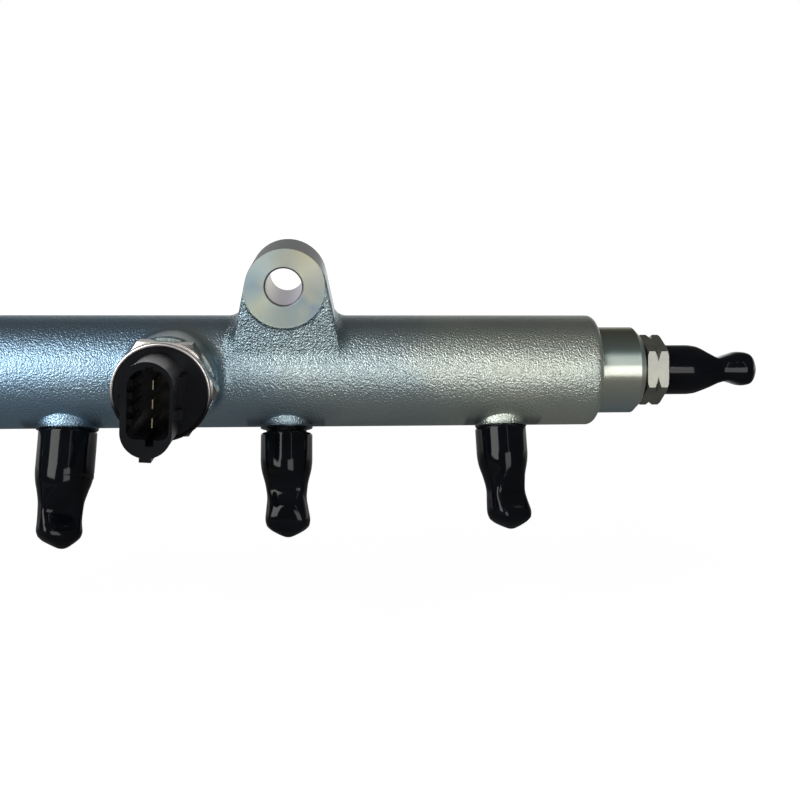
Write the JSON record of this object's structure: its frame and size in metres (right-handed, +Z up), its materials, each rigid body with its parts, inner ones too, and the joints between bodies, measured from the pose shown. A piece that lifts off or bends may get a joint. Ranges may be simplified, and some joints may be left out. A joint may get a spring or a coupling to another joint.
{
  "type": "fuel rail",
  "caption": "Common-rail fuel rail: forged steel bar with bolt lugs, capped pipe unions, a pressure sensor and a pressure-relief valve.",
  "frame": {"origin": "midway between the two mounting holes, on the rear seat plane", "axes": "+X along the rail towards the relief valve, +Z up, -Y to the front where the bolt heads and the sensor are"},
  "size_m": [0.3728, 0.0743, 0.0877],
  "materials": {
    "forged_zinc": "shot-blasted forging, blue zinc",
    "valve_zinc": "turned steel, zinc plated",
    "hard_steel": "ground",
    "spring_steel": "drawn wire",
    "sensor_steel": "stainless, turned",
    "cap_plastic": "glossy soft PVC, black",
    "connector_plastic": "glass-filled polyamide, black",
    "contact_metal": "gold flashed bronze",
    "board_laminate": "lacquered",
    "holder_plastic": "natural",
    "seal_rubber": "matt"
  },
  "bodies": {
    "rail": {"inlet_cap": "cap_plastic", "outlet_cap_1": "cap_plastic", "outlet_cap_2": "cap_plastic", "outlet_cap_3": "cap_plastic", "outlet_cap_4": "cap_plastic", "rail_body": "forged_zinc", "relief_seat": "hard_steel", "relief_shim": "hard_steel", "relief_spring": "spring_steel", "relief_stop": "hard_steel", "relief_valve_body": "valve_zinc", "return_cap": "cap_plastic", "sensor_board": "board_laminate", "sensor_board_holder": "holder_plastic", "sensor_body": "sensor_steel", "sensor_cell": "sensor_steel", "sensor_connector": "connector_plastic", "sensor_o_ring": "seal_rubber", "sensor_terminal_1": "contact_metal", "sensor_terminal_2": "contact_metal", "sensor_terminal_3": "contact_metal"},
    "plunger": {"relief_plunger": "hard_steel"}
  },
  "joints": [
    {"name": "plunger_lift", "type": "slide", "parent": "rail", "child": "plunger", "axis": [1, 0, 0], "range_m": [0, 0.0008], "stiffness_N_per_m": 1000, "deforming": ["relief_spring"]}
  ]
}
